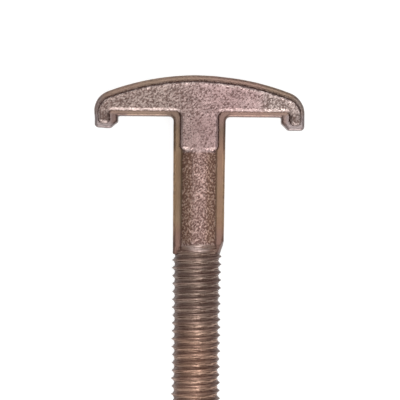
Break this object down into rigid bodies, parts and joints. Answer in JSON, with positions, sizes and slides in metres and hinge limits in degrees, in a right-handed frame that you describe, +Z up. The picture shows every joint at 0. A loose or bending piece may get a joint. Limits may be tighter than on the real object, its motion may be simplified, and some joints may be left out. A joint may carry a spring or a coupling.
{
  "type": "t slot bolt",
  "caption": "Forged T-head bolt: an arched hammer head with a turned-down lip at each end, side flanges down a round shank and a coarse right-hand thread.",
  "frame": {"origin": "on the thread's axis, in the plane of the seats under the two arms of the head", "axes": "+Y runs up the bolt from its point to its head, +X along the right arm as seen in the picture, +Z up from the surface that the bolt lies on"},
  "size_m": [0.0481, 0.0792, 0.0112],
  "materials": {
    "forged_steel": "as forged, brown oxide with a coarse grain"
  },
  "bodies": {
    "root": {"t_slot_bolt": "forged_steel"}
  },
  "joints": []
}
